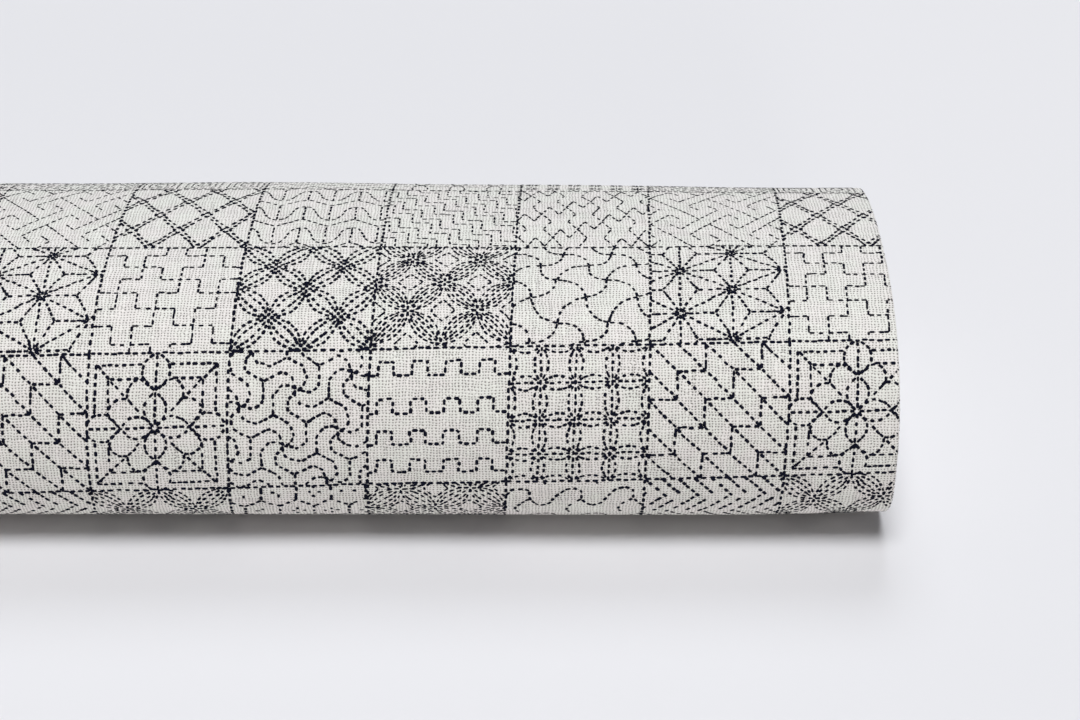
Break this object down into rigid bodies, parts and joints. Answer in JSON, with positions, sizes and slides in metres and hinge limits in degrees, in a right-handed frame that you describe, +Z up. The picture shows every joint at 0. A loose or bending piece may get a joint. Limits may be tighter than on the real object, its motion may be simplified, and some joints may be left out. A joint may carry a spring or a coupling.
{
  "type": "flat-wound length of cloth",
  "caption": "Length of cotton-linen cloth with a dashed sampler print, folded double and wound flat into an oval pack.",
  "frame": {"origin": "on the surface that the pack rests on, under the middle of its box", "axes": "+X along the pack to the fold of the doubled cloth, +Z up, -Y to the front that the picture shows"},
  "size_m": [0.55, 0.095, 0.0525],
  "materials": {
    "cream_cloth": "unbleached cotton-linen in an open plain weave, matt",
    "navy_print": "dark navy print in short dashes, matt, on the weave"
  },
  "bodies": {
    "root": {"wound_cloth": "cream_cloth"}
  },
  "joints": []
}
